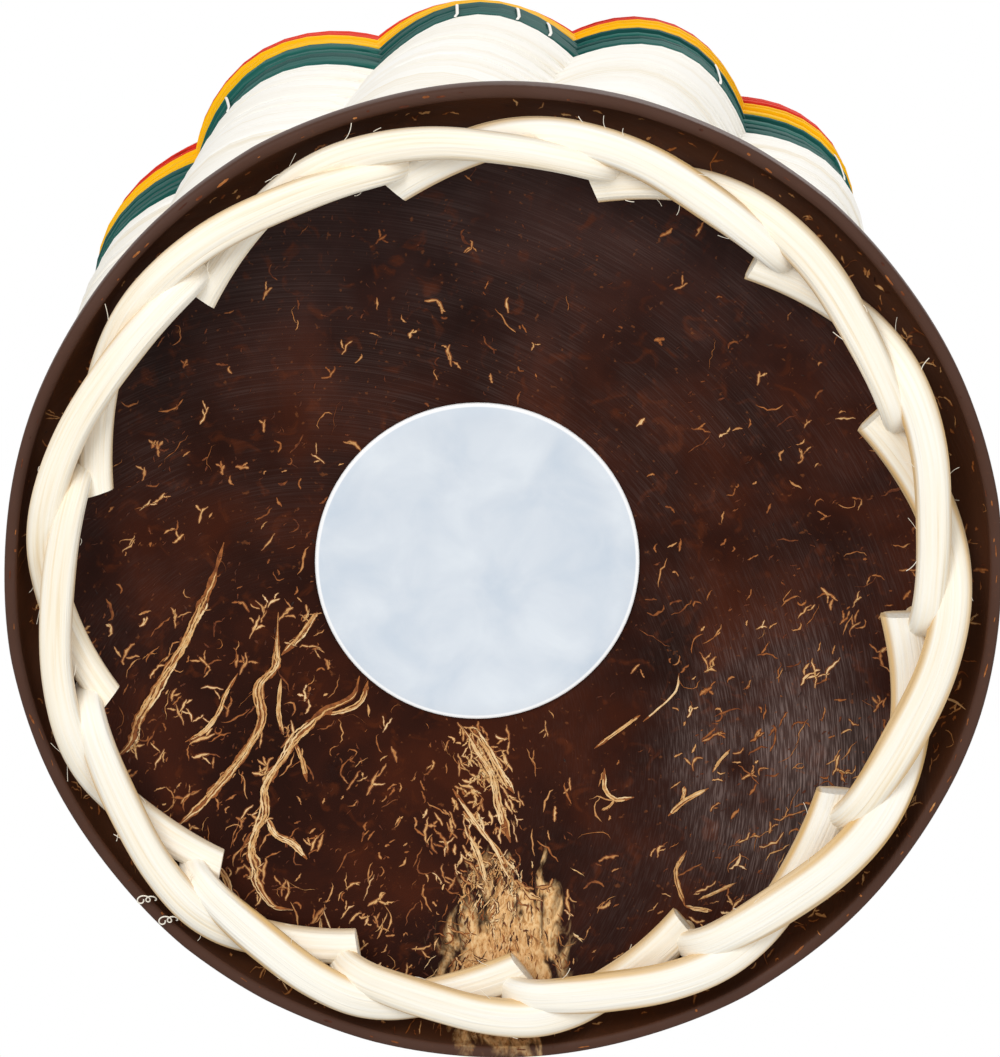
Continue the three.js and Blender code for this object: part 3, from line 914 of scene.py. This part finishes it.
def build_rim_marks():
    skin = Skin()
    for mark in range(RIM_MARKS):
        if rng.random() < RIM_BARE:
            continue
        turn = (mark + uniform(-0.35, 0.35)) * FULL_TURN / RIM_MARKS
        across = mark % 3 == 0 and math.sin(turn) > 0.5
        place = uniform(*MARK_RADII) * heading_to(turn)
        length = (uniform(0.3, 0.7) if across else 0.3 + 1.3 * rng.random() ** 2) * MM
        heading = turn + uniform(-0.15, 0.15) + (0 if across else QUARTER)
        reach = np.linspace(-0.5, 0.5, len(MARK_SHAPE))[:, None] * length
        plan = place + reach * heading_to(heading)
        inside = np.minimum(1, (SHELL_RADIUS - RIM_BEVEL) / np.hypot(plan[:, 0], plan[:, 1]))
        points, normals = on_shell(plan * inside[:, None], LIFT)
        widths = uniform(0.05, 0.3) * MM * MARK_SHAPE
        skin.ribbon(points, widths, normals, uniform(0.12, 0.52))
    skin.piece("rim_marks", fleck_surface())


build_rim_marks()

# Label, bent to the hollow of the shell: rings as shares of its radius and thickness
LABEL_SIDES = 96
LABEL_FACE = [(share, 1.0) for share in np.linspace(0.01, 0.985, 12)]
LABEL_EDGE = [(0.996, 0.85), (1, 0.5), (1, 0.0)]


def build_label():
    turn = round_turns(LABEL_SIDES)
    rings = []
    for share, lift in LABEL_FACE + LABEL_EDGE:
        right = share * LABEL_RADIUS * np.cos(turn) - LABEL_OFFSET
        side = share * LABEL_RADIUS * np.sin(turn)
        height = floor_height(np.hypot(right, side)) - (LABEL_GLUE + lift * LABEL_THICKNESS)
        rings.append(np.stack([right, side, height], 1))
    skin = Skin()
    skin.grid(rings, last_cap=False)
    skin.piece("label", label_surface(), ["label_disc"])


build_label()

# Border canes: steps round from the hole, mm out from the ring of holes, a level and mm above it
ROUTE = [
    (0.0, 0.3, FLOOR_APEX, 2),
    (0.0, 0.3, UNDER, 1.8),
    (0.02, 0.4, OVER, 2.0),
    (0.1, 0.5, OVER, 0.45),
    (0.25, 0.8, OVER, 0),
    (0.55, 1.5, OVER, 0),
    (0.85, 2.5, OVER, 0),
    (1.1, 3.0, OVER, 0.2),
    (1.3, 2.9, OVER, 1.5),
    (1.5, 2.1, UNDER, -0.3),
    (1.72, 0.7, UNDER, 0),
    (BORDER_RUN, -1.8, UNDER, -0.4),
]
STRAND_SIDES = 44
STRAND_STEPS = 9
RISE_TOP = NECK_HEIGHT - 2 * MM
RISE_STEPS = 26
JOINING_STEPS = 9
SIZE_HEADING = math.radians(45)
RIDGES = ((6, 0.016), (9, 0.014), (14, 0.012), (20, 0.01))
HAIR_COUNT = 7
HAIR_START = 35
HAIR_STEPS = 6
HAIR_ROOT = 0.47 * STRAND_WIDTH
HAIR_FACING = np.array([0.3, 0.2, 0.9])
PHASE = 6


def border_place(positions, radii, heights):
    """Points at so many steps round from hole to hole, distances from the axis and heights."""
    points = polar(radii, -stake_angle(positions), heights)
    offset = HOLE_OFFSET * (1 - smoothstep(heights, LEAN_START, STAKE_JOINED))
    points[:, 0] = points[:, 0] * squash(heights) - offset
    return points


def strand_knots(longer):
    """A cane's route on the base, ending a little further on than the usual one."""
    knots = np.array([(step, HOLE_RADIUS + out * MM, level + up * MM) for step, out, level, up in ROUTE])
    knots[-1, 0] += longer
    return knots


def rise_knots():
    """A cane's run inside the wall, from the neck down towards its hole."""
    above = np.linspace(RISE_TOP, STAKE_JOINED, RISE_STEPS)
    below = np.linspace(STAKE_JOINED, LEAN_START, JOINING_STEPS)[1:-2]
    heights = np.concatenate([above, below])
    share = smoothstep(heights, LEAN_START, STAKE_JOINED)
    radii = HOLE_RADIUS + (wall_radius(heights) - STAKE_INSET - HOLE_RADIUS) * share
    return np.stack([-lean(heights), radii, heights], 1)


def add_hair(skin, root, heading, length, thickness, curl):
    """A loose fibre that leaves its root along a heading and bends as it goes."""
    points = [root]
    for _ in range(HAIR_STEPS):
        heading = unit(heading + curl / HAIR_STEPS)
        points.append(points[-1] + heading * length / HAIR_STEPS)
    skin.bar(np.array(points), HAIR_FACING, oval_section(thickness, thickness, sides=5, power=2))


def add_hairs(skin, path, first):
    along = unit(np.gradient(path, axis=0))
    for _ in range(HAIR_COUNT):
        at = rng.randrange(first, len(path) - 2)
        across = np.cross(along[at], DOWN) * rng.choice((-1, 1))
        root = path[at] + across * HAIR_ROOT + DOWN * uniform(-0.6, 0.9) * MM
        heading = across * 0.5 + along[at] * rng.choice((-1, 1)) + DOWN * uniform(-0.2, 0.3)
        curl = np.array([gauss(0, 0.7), gauss(0, 0.7), gauss(0, 0.3)])
        length = uniform(0.6, 2.2) * MM
        add_hair(skin, root, heading, length, uniform(0.05, 0.1) * MM, curl)


def strand_sections(index, steps):
    """Sections of a cane along its steps round: swelling, with ridges that drift."""
    turned = math.cos(float(stake_angle(index + 1)) + SIZE_HEADING)
    size = uniform(0.93, 1.05) + 0.1 * turned
    swell = 0.84 + 0.18 * smoothstep(steps, 0.05, 0.5)
    swell = swell + 0.04 * np.sin(5 * steps + uniform(0, PHASE))
    ridges = np.zeros((len(steps), STRAND_SIDES))
    for waves, depth in RIDGES:
        drift = uniform(0, 6.3) + 0.5 * np.sin(2 * steps[:, None] + uniform(0, PHASE))
        ridges += depth * np.cos(waves * round_turns(STRAND_SIDES) + drift)
    oval = oval_section(STRAND_WIDTH * size, STRAND_THICKNESS, STRAND_SIDES)
    sections = oval * (1 + ridges)[..., None]
    sections[..., 0] *= swell[:, None]
    return sections


def build_strand(index):
    on_base = smooth_path(strand_knots(uniform(-0.03, 0.07)), STRAND_STEPS)
    rise = rise_knots()
    knots = np.vstack([rise, on_base])
    steps, radii, heights = knots.T
    path = border_place(index + steps, radii, heights)
    outward = polar(1, -stake_angle(index + steps), 0 * steps)
    bend = np.cross(DOWN, outward) * (1 - smoothstep(steps, 0.12, 0.3))[:, None]
    inside = smoothstep(heights, LEAN_START, STAKE_JOINED)[:, None]
    normals = (DOWN - bend) * (1 - inside) + outward * inside
    sections = strand_sections(index, steps)
    skin = Skin()
    tint = uniform(0.4, 0.62)
    cut = uniform(-0.25, 0.35)
    skin.bar(path, normals, sections, tint=tint, shift=index * 0.31, cut=cut)
    add_hairs(skin, path, len(rise) + HAIR_START)
    name = f"stake_{index + 1:02d}"
    skin.piece(f"{name}_cane", CANE, [name])


for strand in range(STAKE_COUNT):
    build_strand(strand)

# Two curled shavings caught on the rim: where they start, their turns and sizes
CURL_PLACES = (3.92, 4.06)
CURL_RADIUS = 51.3 * MM
CURL_INWARDS = 1.4 * MM
CURL_DROP = 0.7 * MM
CURL_SIZE = 0.55 * MM
CURL_TILT = 0.3 * MM
CURL_TURNS = 2.3
CURL_STEPS = 50
CURL_SECTION = oval_section(0.15 * MM, 0.1 * MM, 6, 2)


def build_curls():
    skin = Skin()
    share = np.linspace(0, 1, CURL_STEPS)
    turns = share * CURL_TURNS * FULL_TURN
    height = np.full(len(share), RIM_HEIGHT - CURL_DROP)
    size = CURL_SIZE * (1 - 0.5 * share)
    for position in CURL_PLACES:
        place = border_place(position + 0.05 * share, CURL_RADIUS - CURL_INWARDS * share, height)
        place = place + polar(size, turns, CURL_TILT * np.sin(turns))
        skin.bar(place, DOWN, CURL_SECTION, tint=0.7)
    skin.piece("shavings", CANE)


build_curls()

# Woven wall: at each cane a strip passes over it, and both its ends dive between those of the neighbours
STRIP_REACH = 0.57
STRIP_SLANT = 0.25
STRIP_STEPS = 19
STRIP_SIDES = 18
STRIP_OVERLAP = 1.02
STRIP_SAG = (-0.16, 0.1)
STRIP_NARROWING = 0.42
NARROW_PART = (0.36, 0.54)
STRIP_GROOVES = ((0.05, 6), (0.04, 10))


def wall_place(cane, across, height, loose):
    """Points on the wall near a cane, and the way the wall faces there."""
    angle = stake_angle(cane + across - lean(height))
    wall = wall_radius(height)
    radius = wall - LOBE_DEPTH * (1 - np.cos(math.pi * across)) * wall / BASKET_RADIUS
    points = polar(radius + fullness(height, angle) + loose, -angle, height)
    points[:, 0] *= squash(height)
    return points, unit(polar(1, -angle, -wall_slope(height)))


def add_strip(skin, cane, low, pitch, depth):
    across = STRIP_REACH * np.sin(np.linspace(-QUARTER, QUARTER, STRIP_STEPS))
    rise = uniform(-0.06, 0.06) * pitch * across
    height = low + pitch * (0.5 + STRIP_SLANT * np.sin(math.pi * across)) + rise
    sag = uniform(*STRIP_SAG) * MM
    points, normals = wall_place(cane, across, height, sag - depth - STRIP_THICKNESS / 2)
    oval = oval_section(pitch * STRIP_OVERLAP, STRIP_THICKNESS, STRIP_SIDES, power=4)
    sections = np.repeat(oval[None], len(across), 0)
    groove = np.ones(STRIP_SIDES)
    for size, waves in STRIP_GROOVES:
        groove = groove - size * np.cos(waves * round_turns(STRIP_SIDES) + uniform(0, PHASE))
    sections[..., 1] *= groove
    narrowing = 1 - STRIP_NARROWING * smoothstep(np.abs(across), *NARROW_PART)
    slant = np.hypot(normals[:, 0], normals[:, 1])
    sections[..., 0] *= (narrowing / slant)[:, None]
    normals = normals + np.array([0, 0, uniform(-0.06, 0.06)])
    skin.bar(points, normals, sections, tint=uniform(0.3, 0.7), shift=uniform(0, 3))


def build_weave(node, slot, tucked_rows=0):
    """The rows of one colour, and those that go on under the neck winding."""
    low, high = (corner.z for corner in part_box(node))
    rows = round((high - low) / STRIP_HEIGHT)
    pitch = (high - low) / rows
    skin = Skin()
    for row in range(rows + tucked_rows):
        depth = TUCKED_DEPTH if row >= rows else 0
        for cane in range(STAKE_COUNT):
            add_strip(skin, cane, low + row * pitch, pitch, depth)
    skin.piece(f"{node}_strips", STRIPS[slot], [node])


build_weave("weave_cream_lower", "weave_cream")
for dyed in ("weave_green", "weave_yellow", "weave_red"):
    build_weave(dyed, dyed)
build_weave("weave_cream_upper", "weave_cream", tucked_rows=1)

# Loose ends of cream strip lying across the coloured rows, at the angles where they are seen from below
END_ANGLES = [38, 59, 83, 87.5, 95.5, 128, 172, 215, 263, 310]
END_START = 1.5 * MM
END_BOW = 0.3 * MM
END_GAP = 0.1 * MM
END_STEPS = 9
END_SECTION = oval_section(0.36 * MM, 0.14 * MM, 6, 2)


def build_loose_ends():
    skin = Skin()
    low, high = (corner.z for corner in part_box("weave_green"))
    share = np.linspace(0, 1, END_STEPS)
    loose = END_BOW * np.sin(math.pi * share) + END_GAP
    canes = np.arange(-STAKE_COUNT, 2 * STAKE_COUNT)
    for angle in END_ANGLES:
        height = low - END_START + (high - low) * uniform(0.7, 1.0) * share
        cane = np.interp(math.radians(angle), stake_angle(canes), canes) + CANE_LEAN
        across = cane - round(cane) + uniform(-0.04, 0.04) * share
        points, normals = wall_place(round(cane), across, height, loose)
        skin.bar(points, normals, END_SECTION, tint=0.75)
    skin.piece("loose_ends", STRIPS["weave_cream"])


build_loose_ends()

# Neck binding: cane wound round the neck
BINDING_TURNS = 4
BINDING_STEPS = 64
BINDING_GAP = 0.05 * MM
BINDING_FLATNESS = 1.35


def build_binding():
    low, high = (corner.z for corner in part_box("neck_binding"))
    cane = (high - low) / (BINDING_TURNS + 1)
    turn = np.linspace(0, BINDING_TURNS * FULL_TURN, BINDING_TURNS * BINDING_STEPS)
    heights = low + cane / 2 + (high - low - cane / 2) * turn / turn[-1]
    path = polar(wall_radius(heights) + BINDING_GAP, turn, heights)
    section = oval_section(cane * BINDING_FLATNESS, cane, sides=12, power=2.2)
    skin = Skin()
    skin.bar(path, polar(1, turn, -wall_slope(heights)), section, tint=0.45)
    skin.piece("neck_winding", CANE, ["neck_binding"])


build_binding()

# Crown: coils of strip up the side and over the dome
CROWN_EDGE = 4 * MM
CROWN_START = 0.5 * MM
CROWN_SIDE_ROWS = 5
CROWN_DOME_ROWS = 19
CROWN_STEPS = 104
CROWN_WAVE = 0.22 * MM
CROWN_INWARDS = 0.75 * MM
CROWN_DROP = 0.55 * MM
CROWN_SECTION = oval_section(1.45 * MM, 1.2 * MM, 8, 2.4)


def build_crown():
    low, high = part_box("crown")
    rows = [(high.x, low.z + height) for height in np.linspace(CROWN_START, CROWN_EDGE, CROWN_SIDE_ROWS)]
    rise = high.z - low.z - CROWN_EDGE
    for slope in np.linspace(0.12, 1.5, CROWN_DOME_ROWS):
        rows.append((high.x * math.cos(slope), low.z + CROWN_EDGE + rise * math.sin(slope)))
    turn = round_turns(CROWN_STEPS)
    normals = polar(1, turn, np.full(len(turn), 0.6))
    skin = Skin()
    for row, (ring, height) in enumerate(rows):
        weave = CROWN_WAVE * np.sin(STAKE_COUNT * turn + row * math.pi)
        path = polar(ring - CROWN_INWARDS + weave * 0.6, turn, height - CROWN_DROP + weave * 0.5)
        skin.bar(path, normals, CROWN_SECTION, closed=True, tint=uniform(0.35, 0.6), shift=row)
    skin.piece("crown_coils", STRIPS["weave_cream"], ["crown"])


build_crown()

# Finger loop: a bundle of canes, wound round with flat cane
LOOP_RADIUS = 20 * MM
LOOP_CENTRE = CROWN_TOP + 25 * MM
LOOP_KNOTS = 11
LOOP_STEPS = 60
FOOT_X = 7 * MM
FOOT_DEPTH = 4 * MM
BUNDLE_CANES = 5
BUNDLE_RADIUS = 2.5 * MM
BUNDLE_CANE = 2.9 * MM
WRAP_RADIUS = 0.97 * 5.1 * MM
WRAP_PITCH = 3.9 * MM
WRAP_START = 4.3 * MM
WRAP_STEPS = 22
WRAP_SECTION = oval_section(3.8 * MM, 0.85 * MM, 12, 3)


def loop_path():
    start = -math.acos(FOOT_X / LOOP_RADIUS) * 0.8
    knots = [(FOOT_X, 0, CROWN_TOP - FOOT_DEPTH), (FOOT_X, 0, CROWN_TOP)]
    for turn in np.linspace(start, math.pi - start, LOOP_KNOTS):
        knots.append((LOOP_RADIUS * math.cos(turn), 0, LOOP_CENTRE + LOOP_RADIUS * math.sin(turn)))
    knots += [(-FOOT_X, 0, CROWN_TOP), (-FOOT_X, 0, CROWN_TOP - FOOT_DEPTH)]
    return smooth_path(knots, LOOP_STEPS)


def build_loop():
    centre = loop_path()
    level = np.array([0.0, 1.0, 0.0])
    beside = np.cross(unit(np.gradient(centre, axis=0)), level)
    section = oval_section(BUNDLE_CANE, BUNDLE_CANE, 10, 2)
    bundle = Skin()
    for cane, turn in enumerate(round_turns(BUNDLE_CANES)):
        path = centre + BUNDLE_RADIUS * (math.cos(turn) * level + math.sin(turn) * beside)
        bundle.bar(path[::6], level, section, tint=0.4, shift=cane)
    bundle.piece("loop_bundle", CANE, ["handle_core"])
    lengths = run_lengths(centre)
    end = lengths[-1] - WRAP_START
    travel = np.linspace(WRAP_START, end, int((end - WRAP_START) / WRAP_PITCH * WRAP_STEPS))
    place = np.stack([np.interp(travel, lengths, axis) for axis in centre.T], 1)
    side = unit(np.stack([np.interp(travel, lengths, axis) for axis in beside.T], 1))
    turn = (FULL_TURN * travel / WRAP_PITCH)[:, None]
    outward = np.cos(turn) * level + np.sin(turn) * side
    winding = Skin()
    winding.bar(place + outward * WRAP_RADIUS, outward, WRAP_SECTION, tint=0.55)
    winding.piece("loop_winding", CANE, ["handle_wrap"])


build_loop()

# Seeds: flattened ovals with a dent where they grew on the stalk
SEED_LOOK = seed_surface()
SEED_SIDES = 20
SEED_RINGS = 14
SEED_POLE = QUARTER - 0.05


def build_seed(node):
    low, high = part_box(node)
    middle = np.array((low + high) / 2)
    half = np.array((high - low) / 2) * 0.98
    turn = round_turns(SEED_SIDES)
    rings = []
    for tilt in np.linspace(-SEED_POLE, SEED_POLE, SEED_RINGS):
        ring = polar(np.cos(tilt), turn, np.full(len(turn), np.sin(tilt)))
        from_stalk = np.sum((ring - (1, 0, 0)) ** 2, 1)
        dent = 1 - 0.22 * np.exp(-from_stalk / 0.12)
        rings.append(middle + ring * dent[:, None] * half)
    skin = Skin()
    skin.grid(rings)
    skin.piece(f"{node}_body", SEED_LOOK, [node], node)


for seed in sorted(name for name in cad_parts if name.startswith("seed_")):
    build_seed(seed)

# Floor, shown only from above
FLOOR_REACH = 6.0
FLOOR_DROP = 0.3 * MM
FLOOR_TONE = (0.9, 0.9, 0.9, 1)
floor_mesh = bpy.data.meshes.new("floor")
corners = [(x * FLOOR_REACH, y * FLOOR_REACH, 0) for x, y in ((-1, -1), (1, -1), (1, 1), (-1, 1))]
floor_mesh.from_pydata(corners, [], [(0, 1, 2, 3)])
floor = add_object("floor", floor_mesh)
floor.location.z = -FLOOR_DROP
floor_material = bpy.data.materials.new("floor")
floor_material.use_nodes = True
floor_material.node_tree.nodes.clear()
floor_nodes = Nodes(floor_material.node_tree)
from_below = floor_nodes.new("NewGeometry").outputs["Backfacing"]
white = floor_nodes.new("BsdfDiffuse", {"Color": FLOOR_TONE}).outputs[0]
clear = floor_nodes.new("BsdfTransparent").outputs[0]
blend = floor_nodes.new("MixShader", {0: from_below, 1: white, 2: clear}).outputs[0]
floor_nodes.new("OutputMaterial", {"Surface": blend})
floor_mesh.materials.append(floor_material)
floor.visible_shadow = False
floor.visible_diffuse = False
floor.visible_glossy = False

# Light: a surround that is seen as white but lights more dimly, and soft lamps
AMBIENT = 0.5
world = bpy.data.worlds.new("white")
world.use_nodes = True
scene.world = world
sky = Nodes(world.node_tree)
rays = sky.new("LightPath").outputs
seen = sky.maths("MAXIMUM", rays["Is Camera Ray"], rays["Is Glossy Ray"])
seen = sky.maths("MAXIMUM", seen, rays["Is Transmission Ray"])
background = world.node_tree.nodes["Background"]
sky.set(background.inputs["Color"], (1, 1, 1, 1))
sky.set(background.inputs["Strength"], sky.plus(sky.times(seen, 1 - AMBIENT), AMBIENT))

# Lamps: name, place, what they point at, size in metres and power in watts
BASE_MIDDLE = (0, 0, 0.02)
WALL_MIDDLE = (0, 0, 0.08)
LAMPS = [
    ("key", (-0.35, -0.5, -0.65), BASE_MIDDLE, 0.45, 4.7),
    ("fill", (0.6, 0.15, -0.5), BASE_MIDDLE, 0.5, 1.6),
    ("top", (0.4, -0.6, 0.8), WALL_MIDDLE, 0.6, 5.0),
]
for name, place, target, size, power in LAMPS:
    data = bpy.data.lights.new(name, "AREA")
    data.size = size
    data.energy = power
    lamp = add_object(name, data)
    lamp.location = place
    lamp.rotation_euler = (Vector(target) - Vector(place)).to_track_quat("-Z", "Y").to_euler()

# Camera, looking at the base from a little to one side
CAMERA_DISTANCE = 0.75
FRAME_WIDTH = 104.7 * MM
AIM = np.array([-0.4 * MM, -5.5 * MM, RIM_HEIGHT])
TILT_HEADING = math.radians(93)
sideways = np.array([math.cos(TILT_HEADING), -math.sin(TILT_HEADING), 0.0])
place = AIM + CAMERA_DISTANCE * (math.sin(VIEW_TILT) * sideways + math.cos(VIEW_TILT) * DOWN)
forward = Vector(AIM - place).normalized()
right = Vector((1, 0, 0))
right = (right - right.dot(forward) * forward).normalized()
up = right.cross(forward)
camera_data = bpy.data.cameras.new("camera")
camera_data.sensor_fit = "HORIZONTAL"
camera_data.lens = camera_data.sensor_width * CAMERA_DISTANCE / FRAME_WIDTH
camera = add_object("camera", camera_data)
turned = Matrix((right, up, -forward)).transposed().to_4x4()
turned.translation = Vector(place)
camera.matrix_world = turned
scene.camera = camera
scene.view_settings.view_transform = "Standard"

bpy.context.view_layer.update()
